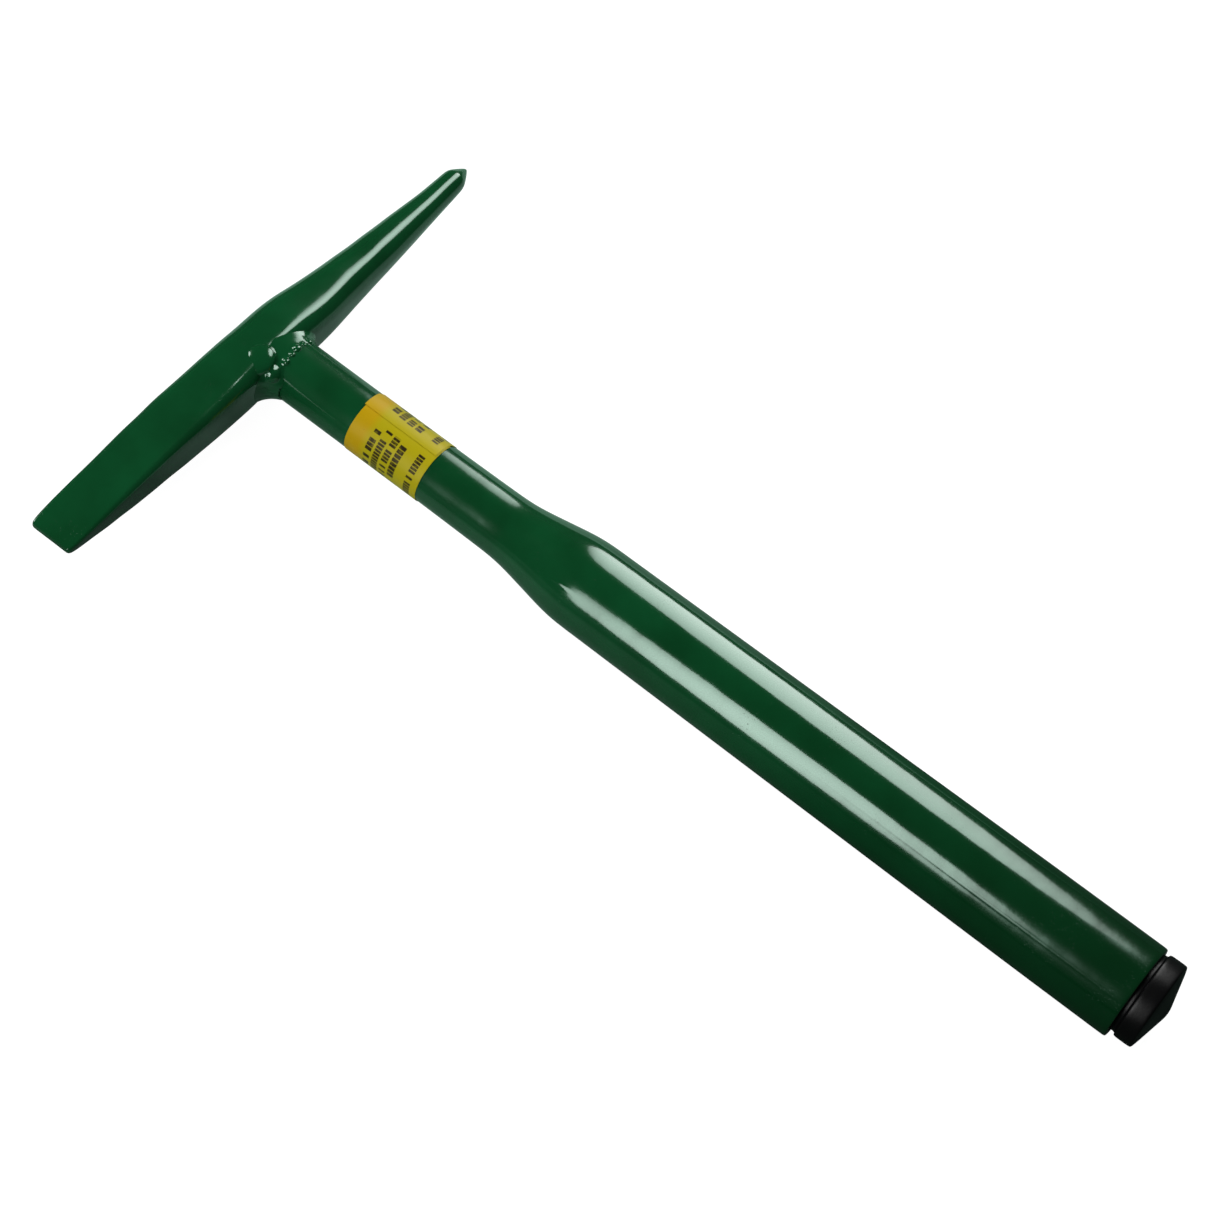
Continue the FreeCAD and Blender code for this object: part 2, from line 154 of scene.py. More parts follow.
straight_grip = 32 * mm  # the grip is full size this far from the butt, then tapers
grip_end_x = butt_x - 179.5 * mm
grip_end_radius = 12.53 * mm
shoulder_end_x = butt_x - 200 * mm
shoulder_end_radius = 8.93 * mm
neck_x = butt_x - 224 * mm
neck_radius = 8.7 * mm
neck_end_x = tube_low.x
wall = 1.8 * mm
neck_wall = 2.2 * mm
butt_round = 0.5 * mm
bend_reach = 8 * mm  # how far each bend of the shoulder spreads along the tube
bend_crown = 0.05 * mm  # how far each bend stands off the sharp corner


def start_shape(name):
    """Names the primitive just added, fixes its place in its mesh and opens it for editing."""
    shape = bpy.context.object
    shape.name = name
    shape.data.name = name
    bpy.ops.object.transform_apply(location=True, rotation=True, scale=True)
    bpy.ops.object.mode_set(mode="EDIT")
    bpy.context.tool_settings.mesh_select_mode = (True, False, False)
    return shape


def draw_out(move, stretch, about):
    """Extrudes what is selected by a move, then stretches its new end about a point."""
    bpy.ops.mesh.extrude_region_move(TRANSFORM_OT_translate={"value": move})
    bpy.ops.transform.resize(value=stretch, center_override=about)


def draw_rings(ring_x, ring_radius, rings):
    """Extrudes the selected ring along the handle through each place along X and radius in turn."""
    for next_x, next_radius in rings:
        ratio = next_radius / ring_radius
        draw_out((next_x - ring_x, 0, 0), (1, ratio, ratio), (next_x, axis_y, axis_z))
        ring_x, ring_radius = next_x, next_radius


def finish_shape(shape, smooth_angle=40):
    """Closes the seams, turns the faces outward and leaves edit mode."""
    bpy.ops.mesh.select_all(action="SELECT")
    bpy.ops.mesh.remove_doubles(threshold=1e-6)
    bpy.ops.mesh.normals_make_consistent(inside=False)
    bpy.ops.object.mode_set(mode="OBJECT")
    bpy.ops.object.select_all(action="DESELECT")
    shape.select_set(True)
    bpy.context.view_layer.objects.active = shape
    bpy.ops.object.shade_smooth_by_angle(angle=math.radians(smooth_angle))


def subdivide_surface(shape, levels):
    """Rounds a shape with Subdivision Surface and applies it."""
    bpy.context.view_layer.objects.active = shape
    smoother = shape.modifiers.new("subdivision", "SUBSURF")
    smoother.levels = levels
    smoother.render_levels = levels
    bpy.ops.object.modifier_apply(modifier=smoother.name)


# Rings from the butt to the neck's end, then back through the bore: place along X and radius.
straight_end_x = butt_x - straight_grip
grip_fall = (grip_radius - grip_end_radius) / (straight_end_x - grip_end_x)
outside = [(butt_x - butt_round * 0.3, grip_radius - butt_round * 0.3),
           (butt_x - butt_round, grip_radius),
           (butt_x - 4 * mm, grip_radius),
           (straight_end_x, grip_radius)]
outside += [(straight_end_x - back * mm, grip_radius - grip_fall * back * mm) for back in (38, 78, 113, 133)]
outside += [(grip_end_x + bend_reach, grip_end_radius + grip_fall * bend_reach),
            (grip_end_x, grip_end_radius + bend_crown)]
shoulder_slope = (grip_end_radius - shoulder_end_radius) / (grip_end_x - shoulder_end_x)
outside += [(grip_end_x - bend_reach, grip_end_radius - shoulder_slope * bend_reach),
            (shoulder_end_x + bend_reach, shoulder_end_radius + shoulder_slope * bend_reach),
            (shoulder_end_x, shoulder_end_radius),
            (shoulder_end_x - bend_reach, shoulder_end_radius - bend_crown),
            (neck_x, neck_radius),
            (neck_x - 18 * mm, neck_radius),
            (neck_end_x + 12 * mm, neck_radius),
            (neck_end_x + 1 * mm, neck_radius),
            (neck_end_x, neck_radius)]
inside = [(neck_end_x, neck_radius - neck_wall),
          (neck_end_x + 1 * mm, neck_radius - neck_wall),
          (neck_x, neck_radius - neck_wall),
          (shoulder_end_x, shoulder_end_radius - neck_wall),
          (grip_end_x, grip_end_radius - wall),
          (straight_end_x, grip_radius - wall),
          (butt_x - 2 * mm, grip_radius - wall),
          (butt_x - 0.3 * mm, grip_radius - wall),
          (butt_x, grip_radius - wall + 0.3 * mm)]

bpy.ops.object.select_all(action="DESELECT")
tube_sides = 64
half_facet = math.pi / tube_sides
mouth_radius = grip_radius - butt_round
bpy.ops.mesh.primitive_circle_add(vertices=tube_sides, radius=mouth_radius, location=(butt_x, axis_y, axis_z),
                                  rotation=(0, math.pi / 2, 0))
tube = start_shape("handle_tube_painted")
bpy.ops.mesh.select_all(action="SELECT")
bpy.ops.transform.rotate(value=half_facet, orient_axis="X", center_override=axis)
draw_rings(butt_x, mouth_radius, outside + inside)
bpy.ops.mesh.select_all(action="SELECT")
shape_mesh = bmesh.from_edit_mesh(tube.data)
open_edges = [edge for edge in shape_mesh.edges if edge.is_boundary]
for part in list(shape_mesh.faces) + list(shape_mesh.edges) + list(shape_mesh.verts):
    part.select = False
for edge in open_edges:
    edge.select = True
bmesh.update_edit_mesh(tube.data)
bpy.context.tool_settings.mesh_select_mode = (False, True, False)
bpy.ops.mesh.bridge_edge_loops()

# The tube's own rolled seam, dressed down but still a faint ridge under the paint by the butt.
seam_turn = math.pi / 4 + half_facet  # from the top toward the near side
seam_width = 1.1 * mm
seam_height = 0.12 * mm
seam_spread = 1 + seam_height / grip_radius
seam_start_x = butt_x - 100 * mm


def on_seam(place, from_x):
    """Whether a place on the tube's outside lies on the seam's line, nearer the butt than from_x."""
    off_y = place.y - axis_y
    off_z = place.z - axis_z
    reach = math.hypot(off_y, off_z)
    aside = abs(math.atan2(-off_y, off_z) - seam_turn) * reach
    return place.x > from_x and aside < 0.1 * mm and reach > neck_radius - 0.2 * mm


bpy.ops.mesh.select_all(action="DESELECT")
shape_mesh = bmesh.from_edit_mesh(tube.data)
for edge in shape_mesh.edges:
    edge.select = all(on_seam(point.co, grip_end_x - 0.1 * mm) for point in edge.verts)
bmesh.update_edit_mesh(tube.data)
bpy.ops.mesh.bevel(offset=seam_width / 2, segments=2, affect="EDGES")
bpy.context.tool_settings.mesh_select_mode = (True, False, False)
bpy.ops.mesh.select_all(action="DESELECT")
shape_mesh = bmesh.from_edit_mesh(tube.data)
for point in shape_mesh.verts:
    point.select = on_seam(point.co, seam_start_x)
bmesh.update_edit_mesh(tube.data)
bpy.ops.transform.resize(value=(1, seam_spread, seam_spread), center_override=axis)
finish_shape(tube)
subdivide_surface(tube, 2)


def new_group(name, inputs, outputs):
    """Starts a shader node group with named value sockets, and gives it with its two ends."""
    group = bpy.data.node_groups.new(name, "ShaderNodeTree")
    for socket, kind, value in inputs:
        made = group.interface.new_socket(socket, in_out="INPUT", socket_type=kind)
        if value is not None:
            made.default_value = value
    for socket, kind in outputs:
        group.interface.new_socket(socket, in_out="OUTPUT", socket_type=kind)
    return group, group.nodes.new("NodeGroupInput"), group.nodes.new("NodeGroupOutput")


# Handling marks, shared by every finish on the hammer: fine dust specks in patches, and soft
# smudges where it has been held.
handling, handling_in, handling_out = new_group(
    "handling_marks",
    [("Vector", "NodeSocketVector", None), ("Speck Scale", "NodeSocketFloat", 900.0),
     ("Smudge Scale", "NodeSocketFloat", 40.0), ("Amount", "NodeSocketFloat", 1.0)],
    [("Specks", "NodeSocketFloat"), ("Smudges", "NodeSocketFloat")])
speck_cells = add_node(handling, "ShaderNodeTexVoronoi", {"Randomness": 1.0},
                       {"Vector": handling_in.outputs["Vector"], "Scale": handling_in.outputs["Speck Scale"]})
speck_shape = add_node(handling, "ShaderNodeMapRange",
                       {"From Min": 0.16, "From Max": 0.04, "To Min": 0.0, "To Max": 1.0},
                       {"Value": speck_cells.outputs["Distance"]})
speck_patches = add_node(handling, "ShaderNodeTexNoise", {"Scale": 70.0, "Detail": 2.0},
                         {"Vector": handling_in.outputs["Vector"]})
speck_choice = add_node(handling, "ShaderNodeMapRange",
                        {"From Min": 0.52, "From Max": 0.68, "To Min": 0.0, "To Max": 1.0},
                        {"Value": speck_patches.outputs["Fac"]})
specks = add_node(handling, "ShaderNodeMath", None,
                  {0: speck_shape.outputs["Result"], 1: speck_choice.outputs["Result"]}, operation="MULTIPLY")
specks_out = add_node(handling, "ShaderNodeMath", None,
                      {0: specks.outputs[0], 1: handling_in.outputs["Amount"]}, operation="MULTIPLY")
smudge_cloud = add_node(handling, "ShaderNodeTexNoise",
                        {"Detail": 4.0, "Roughness": 0.6, "Distortion": 0.4},
                        {"Vector": handling_in.outputs["Vector"],
                         "Scale": handling_in.outputs["Smudge Scale"]})
smudges = add_node(handling, "ShaderNodeMapRange",
                   {"From Min": 0.42, "From Max": 0.75, "To Min": 0.0},
                   {"Value": smudge_cloud.outputs["Fac"], "To Max": handling_in.outputs["Amount"]})
handling.links.new(specks_out.outputs[0], handling_out.inputs["Specks"])
handling.links.new(smudges.outputs["Result"], handling_out.inputs["Smudges"])


def marked_material(name, speck_scale, smudge_scale, amount):
    """A new material whose nodes start from the piece's own place and the handling marks."""
    material = bpy.data.materials.new(name)
    material.use_nodes = True
    tree = material.node_tree
    place = add_node(tree, "ShaderNodeTexCoord")
    marks = add_node(tree, "ShaderNodeGroup",
                     {"Speck Scale": speck_scale, "Smudge Scale": smudge_scale, "Amount": amount},
                     {"Vector": place.outputs["Object"]}, node_tree=handling)
    return material, tree, place.outputs["Object"], marks, tree.nodes["Principled BSDF"]


# Gloss enamel: deep green, a shade lighter where the spray lies thin, with orange peel, slow
# sags and a few nibs of dirt caught in the film.
enamel_deep = (0.0018, 0.046, 0.012, 1)
enamel_thin = (0.003, 0.066, 0.019, 1)
# The darkest green is painted shade, blended in toward the butt below.
enamel_butt_shade = (0.0006, 0.016, 0.0036, 1)
enamel, tree, place, marks, shader = marked_material("green_enamel", 1500.0, 28.0, 0.5)
film_cloud = add_node(tree, "ShaderNodeTexNoise", {"Scale": 55.0, "Detail": 3.0, "Roughness": 0.55},
                      {"Vector": place})
film_share = add_node(tree, "ShaderNodeMapRange", {"From Min": 0.3, "From Max": 0.7},
                      {"Value": film_cloud.outputs["Fac"]})
film_colour = add_node(tree, "ShaderNodeMix", {"A": enamel_deep, "B": enamel_thin},
                       {"Factor": film_share.outputs["Result"]}, data_type="RGBA")
# Painted shade: the base colour darkens toward the butt, standing in for the light falling off along the
# grip.
place_sides = add_node(tree, "ShaderNodeSeparateXYZ", None, {"Vector": place})
butt_shade_share = add_node(tree, "ShaderNodeMapRange", {"From Min": 0.02, "From Max": 0.14, "To Max": 0.75},
                   {"Value": place_sides.outputs["X"]})
butt_shaded_colour = add_node(tree, "ShaderNodeMix", {"B": enamel_butt_shade},
                          {"Factor": butt_shade_share.outputs["Result"], "A": film_colour.outputs["Result"]},
                          data_type="RGBA")
tree.links.new(butt_shaded_colour.outputs["Result"], shader.inputs["Base Color"])
enamel_roughness = add_node(tree, "ShaderNodeMapRange", {"To Min": 0.12, "To Max": 0.2},
                            {"Value": marks.outputs["Smudges"]})
tree.links.new(enamel_roughness.outputs["Result"], shader.inputs["Roughness"])
shader.inputs["Specular Tint"].default_value = (0.68, 1.0, 0.84, 1)
shader.inputs["Coat Weight"].default_value = 0.35
shader.inputs["Coat Roughness"].default_value = 0.05
shader.inputs["Coat Tint"].default_value = (0.9, 1.0, 0.95, 1)
orange_peel = add_node(tree, "ShaderNodeTexNoise", {"Scale": 420.0, "Detail": 2.0, "Roughness": 0.4},
                       {"Vector": place})
sags = add_node(tree, "ShaderNodeTexNoise", {"Scale": 90.0, "Detail": 1.0}, {"Vector": place})
peel_bump = add_node(tree, "ShaderNodeBump", {"Strength": 0.5, "Distance": 0.00003},
                     {"Height": orange_peel.outputs["Fac"]})
sag_bump = add_node(tree, "ShaderNodeBump", {"Strength": 0.6, "Distance": 0.0002},
                    {"Height": sags.outputs["Fac"], "Normal": peel_bump.outputs["Normal"]})
nib_bump = add_node(tree, "ShaderNodeBump", {"Strength": 0.8, "Distance": 0.0001},
                    {"Height": marks.outputs["Specks"], "Normal": sag_bump.outputs["Normal"]})
tree.links.new(nib_bump.outputs["Normal"], shader.inputs["Normal"])

tube.data.materials.append(enamel)
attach(tube, "root")
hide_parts("handle_tube")

# ---------------------------------------------------------------- hammer head
# One bar of tool steel, forged hot: the eye block in the middle, a flat chisel drawn out on one
# side and a round point on the other. The hammer blows leave its faces slightly uneven.

head_low, head_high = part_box("hammer_head")
chisel_edge_y = head_low.y
point_tip_y = head_high.y
eye_x = (head_low.x + head_high.x) / 2
eye_height = head_high.x - head_low.x
eye_thick = head_high.z - head_low.z
eye_corner = 5 * mm
eye_low_y = axis_y - 5 * mm
eye_high_y = axis_y + 6 * mm

# Each arm's stations, in mm: distance from the handle's axis, height along the handle, thickness,
# shift toward the butt, and the radius of the section's corners.
chisel_stations = [(13, 16.6, 16.7, 0.1, 4.2), (21, 16.5, 15.8, 0.15, 3.6), (32, 16.2, 14.5, 0.1, 3.0),
                   (44, 15.7, 12.9, 0.05, 2.5), (56, 15.2, 10.8, 0.05, 2.1), (66, 14.7, 7.9, 0.03, 1.6),
                   (76, 14.3, 4.8, 0.02, 1.1), (81.5, 14.1, 3.2, 0, 0.9), (83.8, 13.4, 2.5, 0, 0.8)]
point_stations = [(11, 16.1, 16.9, 0.3, 4.9), (16, 15.6, 15.9, 0.6, 4.8), (21, 15.0, 14.9, 0.75, 4.7),
                  (27, 14.2, 14.0, 0.75, 5.1), (39, 12.4, 12.2, 0.75, 4.8), (52, 10.6, 10.5, 0.68, 4.4),
                  (66, 8.6, 8.5, 0.55, 3.7), (76, 7.5, 7.5, 0.2, 3.4), (80.0, 7.0, 7.0, 0, 3.1),
                  (81.2, 6.2, 6.2, 0, 2.8), (83.5, 3.6, 3.6, 0, 1.65), (85.1, 1.6, 1.6, 0, 0.72)]

bpy.ops.object.select_all(action="DESELECT")
bpy.ops.mesh.primitive_cube_add(size=1, location=(eye_x, (eye_low_y + eye_high_y) / 2, axis_z),
                                scale=(eye_height, eye_high_y - eye_low_y, eye_thick))
head = start_shape("hammer_head_forged")
bpy.ops.mesh.select_all(action="SELECT")
bpy.ops.mesh.subdivide(number_cuts=1)
bpy.ops.mesh.select_all(action="DESELECT")
bpy.context.tool_settings.mesh_select_mode = (False, True, False)
shape_mesh = bmesh.from_edit_mesh(head.data)
for edge in shape_mesh.edges:
    along = (edge.verts[1].co - edge.verts[0].co).normalized()
    off_x = abs(edge.verts[0].co.x - eye_x) > 0.4 * eye_height
    off_z = abs(edge.verts[0].co.z - axis_z) > 0.4 * eye_thick
    edge.select = abs(along.y) > 0.9 and off_x and off_z
bmesh.update_edit_mesh(head.data)
bpy.ops.mesh.bevel(offset=eye_corner, segments=4, profile=0.5, affect="EDGES")


def select_end(shape, side, limit):
    """Selects the faces that close an arm: beyond limit along Y, facing outward."""
    bpy.ops.mesh.select_all(action="DESELECT")
    bpy.context.tool_settings.mesh_select_mode = (False, False, True)
    edited = bmesh.from_edit_mesh(shape.data)
    edited.normal_update()
    for face in edited.faces:
        face.select = face.normal.y * side > 0.9 and (face.calc_center_median().y - limit) * side > -1e-5
    bmesh.update_edit_mesh(shape.data)


def draw_arm(shape, side, start_y, stations):
    """Draws one arm of the head out of the eye, station by station, then gives each its corners."""
    here = Vector((eye_x, start_y, axis_z))
    size = (eye_height, eye_thick)
    for reach, height, thick, drop, corner in stations:
        there = Vector((eye_x + drop * mm, axis_y + side * reach * mm, axis_z))
        select_end(shape, side, here.y)
        draw_out(there - here, (height * mm / size[0], 1, thick * mm / size[1]), there)
        here = there
        size = (height * mm, thick * mm)
    flat_x = eye_height / 2 - eye_corner
    flat_z = eye_thick / 2 - eye_corner
    edited = bmesh.from_edit_mesh(shape.data)
    for reach, height, thick, drop, corner in stations:
        for point in edited.verts:
            if abs((point.co.y - axis_y) * side - reach * mm) > 1e-5:
                continue
            off_x = point.co.x - eye_x - drop * mm
            off_z = point.co.z - axis_z
            over_x = abs(off_x) / (height * mm) * eye_height - flat_x
            over_z = abs(off_z) / (thick * mm) * eye_thick - flat_z
            if over_x > -1e-6 and over_z > -1e-6:
                angle = math.atan2(over_z, over_x)
                off_x = math.copysign((height / 2 - corner * (1 - math.cos(angle))) * mm, off_x)
                off_z = math.copysign((thick / 2 - corner * (1 - math.sin(angle))) * mm, off_z)
                point.co = (eye_x + drop * mm + off_x, point.co.y, axis_z + off_z)
    bmesh.update_edit_mesh(shape.data)
    return here


chisel_end = draw_arm(head, -1, eye_low_y, chisel_stations)
select_end(head, -1, chisel_end.y)
draw_out((0, chisel_edge_y - chisel_end.y, 0), (0.84, 1, 0.5), (eye_x, chisel_edge_y, axis_z))
point_end = draw_arm(head, 1, eye_high_y, point_stations)
select_end(head, 1, point_end.y)
draw_out((0, point_tip_y - point_end.y, 0), (0.4, 1, 0.4), (eye_x, point_tip_y, axis_z))
finish_shape(head, 50)
subdivide_surface(head, 3)

# The hammer blows: shallow dents a finger's width apart.
blows = bpy.data.textures.new("hammer_blows", "CLOUDS")
blows.noise_scale = 15 * mm
blows.noise_depth = 1
dents = head.modifiers.new("dents", "DISPLACE")
dents.texture = blows
dents.texture_coords = "LOCAL"
dents.strength = 0.4 * mm
dents.mid_level = 0.62
bpy.ops.object.modifier_apply(modifier=dents.name)

head.data.materials.append(enamel)
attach(head, "root")
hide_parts("hammer_head")

# ---------------------------------------------------------------- weld
# A fillet weld joins the end of the neck to the head's underside, laid in one pass round the
# tube. It fills the groove at both cheeks and ends in a lump on the upper cheek.

underside_x = head_high.x
cheek = eye_thick / 2
chisel_leg = 7.2 * mm
point_leg = 4.3 * mm
neck_leg = 4.6 * mm
bead_pull = Vector((0.02, 0.44)) * mm  # rounds the bead out over the cheeks, in its section
ripple_count = 30
ripple_depth = 0.07 * mm
root_depth = 1.6 * mm  # how far the weld's hidden root reaches into tube and head
weld_turns = 288
weld_sides = 40
skin_sides = 24  # of those, the ones on the weld's open face
first_side = 108  # degrees round the bead's section at which the open face starts, at the tube's toe
off_face = Vector((0.5, 0.87))  # the way the open face looks, in its section

bpy.ops.object.select_all(action="DESELECT")
bpy.ops.mesh.primitive_torus_add(major_segments=weld_turns, minor_segments=weld_sides,
                                 major_radius=neck_radius, minor_radius=neck_leg,
                                 location=(underside_x, axis_y, axis_z), rotation=(0, math.pi / 2, 0))
weld = start_shape("weld_bead_painted")
bpy.ops.object.mode_set(mode="OBJECT")


def surface_drop(z):
    """How far the head's underside has curved away from its flat at a height off the centre line."""
    over = max(0, abs(z) - (cheek - eye_corner))
    return eye_corner - math.sqrt(max(0, eye_corner**2 - over**2))


def weld_section(turn, share):
    """Place on the weld's skin: turn about the handle from +Z, share from the tube's toe to the head's."""
    out_z = math.cos(turn)
    out_y = math.sin(turn)
    leg = point_leg if out_y > 0 else chisel_leg
    toe_reach = neck_radius + leg * abs(out_y) ** (2.5 if out_y > 0 else 1.7)
    toe_reach = min(toe_reach, (cheek + 0.05 * mm) / max(abs(out_z), 0.01))
    under_chisel = max(0, -out_y) ** 3
    tube_toe = Vector((neck_leg * (0.45 + 0.55 * out_y**2 + 0.4 * under_chisel), neck_radius - 0.15 * mm))
    on_cheek = 1 - out_y**2
    head_toe = Vector((-surface_drop(toe_reach * out_z) - (0.3 + 1.2 * on_cheek) * mm,
                       toe_reach - 0.35 * mm * on_cheek))
    corner = Vector((-surface_drop(neck_radius * out_z) + 0.8 * mm * under_chisel,
                     neck_radius + 1.0 * mm * under_chisel))
    straight = (tube_toe + head_toe) / 2
    hollow = out_y**2
    control = corner.lerp(straight + bead_pull, 1 - hollow)
    return tube_toe * (1 - share) ** 2 + control * 2 * share * (1 - share) + head_toe * share**2


for point in weld.data.vertices:
    off = point.co - Vector((underside_x, axis_y, axis_z))
    turn = math.atan2(off.y, off.z)
    spin = math.atan2(off.x, math.hypot(off.y, off.z) - neck_radius)  # round the bead's own section
    side = round((first_side - math.degrees(spin)) / 360 * weld_sides) % weld_sides
    if side <= skin_sides:
        share = side / skin_sides
        place_in = weld_section(turn, share)
        crest = math.sin(math.pi * share)
        ripple = turn / (2 * math.pi) * ripple_count + 0.9 * crest + 0.15 * math.sin(7 * turn)
        strength = crest * (0.25 + 0.75 * math.sin(turn) ** 2)
        lift = ripple_depth * (abs(math.sin(math.pi * ripple)) - 0.6) * strength
        place_in += off_face * lift
    else:
        share = (side - skin_sides) / (weld_sides - skin_sides)
        root = weld_section(turn, 1).lerp(weld_section(turn, 0), share)
        place_in = root - Vector((1, 1)) * root_depth * math.sin(math.pi * share)
    point.co = Vector((underside_x + place_in.x,
                       axis_y + place_in.y * math.sin(turn),
                       axis_z + place_in.y * math.cos(turn)))

# Drops along the tube's side of the upper cheek, then the low lump where the welder stopped and a
# small one beside it: centre, half sizes and turn about X in degrees.
drop_x = underside_x + 2.2 * mm
weld_lumps = []
for i, size in enumerate((0.9, 0.7, 1.05, 0.75, 0.95)):
    drop_y = axis_y + (5.4 - 2.35 * i) * mm
    drop_z = axis_z + math.sqrt(neck_radius**2 - (drop_y - axis_y) ** 2)
    weld_lumps.append(((drop_x + 0.25 * mm * math.sin(2.3 * i), drop_y, drop_z),
                       (1.2 * size * mm, 1.15 * size * mm, 0.75 * size * mm), 0))
weld_lumps.append(((underside_x - 3.6 * mm, axis_y - 8.5 * mm, axis_z + cheek - 1.15 * mm),
                   (4.4 * mm, 4.6 * mm, 1.45 * mm), 15))
weld_lumps.append(((underside_x + 1.0 * mm, axis_y - 7.9 * mm, axis_z + 4.9 * mm),
                   (2.5 * mm, 2.6 * mm, 2.4 * mm), 0))
for place_at, size, tilt in weld_lumps:
    bpy.ops.mesh.primitive_uv_sphere_add(segments=24, ring_count=12, radius=1, location=place_at, scale=size,
                                         rotation=(math.radians(tilt), 0, 0))
    bpy.ops.object.transform_apply(location=True, rotation=True, scale=True)
    bpy.context.object.select_set(True)
    weld.select_set(True)
    bpy.context.view_layer.objects.active = weld
    bpy.ops.object.join()
bpy.ops.object.mode_set(mode="EDIT")
finish_shape(weld, 60)
melt = weld.modifiers.new("melt", "REMESH")
melt.mode = "VOXEL"
melt.voxel_size = 0.22 * mm
bpy.ops.object.modifier_apply(modifier=melt.name)
flow = weld.modifiers.new("flow", "SMOOTH")
flow.factor = 0.6
flow.iterations = 22
bpy.ops.object.modifier_apply(modifier=flow.name)
bpy.ops.object.mode_set(mode="EDIT")
finish_shape(weld, 180)
weld.data.materials.append(enamel)
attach(weld, "root")
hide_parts("weld_bead")

# ---------------------------------------------------------------- end plug
# A black plastic plug, moulded with a shallow cone on its face, pressed into the open butt.
# It sits a hair off centre and leaves a thin dark gap against the tube.

plug_low, plug_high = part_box("end_plug")
plug_x = plug_high.x
plug_radius = 12.4 * mm
plug_rim_x = plug_x - 2.6 * mm
plug_back_x = butt_x + 1.2 * mm
crown_radius = 2.2 * mm
collar_radius = 11.45 * mm
core_radius = 9.8 * mm
plug_shift = 0.45 * mm  # toward the point side
plug_lean = math.radians(0.9)  # pressed in a little further on that side

bpy.ops.object.select_all(action="DESELECT")
plug_rings = [(plug_x - 0.25 * mm, crown_radius),
              (plug_x - 0.9 * mm, crown_radius * 2.2),
              (plug_rim_x + 0.55 * mm, plug_radius * 0.82),
              (plug_rim_x + 0.05 * mm, plug_radius - 0.5 * mm),
              (plug_rim_x - 0.15 * mm, plug_radius - 0.12 * mm),
              (plug_rim_x - 0.7 * mm, plug_radius),
              (plug_back_x + 1.0 * mm, plug_radius),
              (plug_back_x + 0.2 * mm, plug_radius - 0.1 * mm),
              (plug_back_x, plug_radius - 0.4 * mm),
              (plug_back_x, collar_radius + 0.3 * mm),
              (plug_back_x - 0.3 * mm, collar_radius),
              (butt_x - 3 * mm, collar_radius),
              (butt_x - 3.5 * mm, core_radius),
              (butt_x - 12 * mm, core_radius),
              (plug_low.x + 1.0 * mm, core_radius),
              (plug_low.x, core_radius - 1.0 * mm)]
tip_radius = crown_radius * 0.35
bpy.ops.mesh.primitive_circle_add(vertices=48, radius=tip_radius, location=(plug_x, axis_y, axis_z),
                                  rotation=(0, math.pi / 2, 0), fill_type="NGON")
plug = start_shape("end_plug_moulded")
bpy.ops.mesh.select_all(action="SELECT")
bpy.ops.mesh.flip_normals()
draw_rings(plug_x, tip_radius, plug_rings)
bpy.ops.mesh.select_all(action="SELECT")
bpy.ops.transform.translate(value=(0, plug_shift, 0))
bpy.ops.transform.rotate(value=-plug_lean, orient_axis="Z", center_override=(butt_x, axis_y, axis_z))
finish_shape(plug, 35)
subdivide_surface(plug, 2)

plastic, tree, place, marks, shader = marked_material("black_plastic", 1100.0, 90.0, 0.8)
plastic_colour = add_node(tree, "ShaderNodeMix",
                          {"A": (0.003, 0.003, 0.0032, 1), "B": (0.02, 0.02, 0.021, 1)},
                          {"Factor": marks.outputs["Specks"]}, data_type="RGBA")
tree.links.new(plastic_colour.outputs["Result"], shader.inputs["Base Color"])
shader.inputs["Specular IOR Level"].default_value = 0.16
plastic_roughness = add_node(tree, "ShaderNodeMapRange", {"To Min": 0.3, "To Max": 0.48},
                             {"Value": marks.outputs["Smudges"]})
tree.links.new(plastic_roughness.outputs["Result"], shader.inputs["Roughness"])
mould_grain = add_node(tree, "ShaderNodeTexNoise", {"Scale": 1400.0, "Detail": 3.0}, {"Vector": place})
grain_bump = add_node(tree, "ShaderNodeBump", {"Strength": 0.5, "Distance": 0.00004},
                      {"Height": mould_grain.outputs["Fac"]})
tree.links.new(grain_bump.outputs["Normal"], shader.inputs["Normal"])
plug.data.materials.append(plastic)
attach(plug, "root")
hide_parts("end_plug")

# ---------------------------------------------------------------- label
# A strip of printed yellow film, wound once round the neck with its end lapped over its start.
# The print is only rows of plain dashes.

label_low, label_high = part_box("label")
label_width = label_high.x - label_low.x
film = 0.14 * mm
lap_angle = math.radians(40)
lap_end_turn = math.radians(5)  # where the lapped end lies, from the top toward the near side
lap_skew = 0.4 * mm  # the lapped end wandered this far toward the head
wrap_angle = 2 * math.pi + lap_angle
label_radius = neck_radius + 0.02 * mm + film
label_length = wrap_angle * label_radius

bpy.ops.object.select_all(action="DESELECT")
bpy.ops.mesh.primitive_grid_add(x_subdivisions=24, y_subdivisions=220, size=1, rotation=(math.pi / 2, 0, 0))
label = start_shape("label_film")
bpy.ops.transform.resize(value=(label_width, 1, label_length), center_override=(0, 0, 0))
bpy.ops.mesh.select_all(action="DESELECT")
shape_mesh = bmesh.from_edit_mesh(label.data)
lap_start = lap_angle * label_radius - label_length / 2
ramp = 2.5 * mm
for point in shape_mesh.verts:
    rise = min(1, max(0, (lap_start + ramp - point.co.z) / ramp))
    rise = rise * rise * (3 - 2 * rise)
    point.co += Vector((-lap_skew * rise, -1.1 * film * rise, 0))
bmesh.update_edit_mesh(label.data)
bpy.ops.object.mode_set(mode="OBJECT")
wrap = label.modifiers.new("wrap", "SIMPLE_DEFORM")
wrap.deform_method = "BEND"
wrap.deform_axis = "X"
wrap.angle = wrap_angle
bpy.ops.object.modifier_apply(modifier=wrap.name)
label.data.transform(Matrix.Translation((0, -label_radius, 0)))
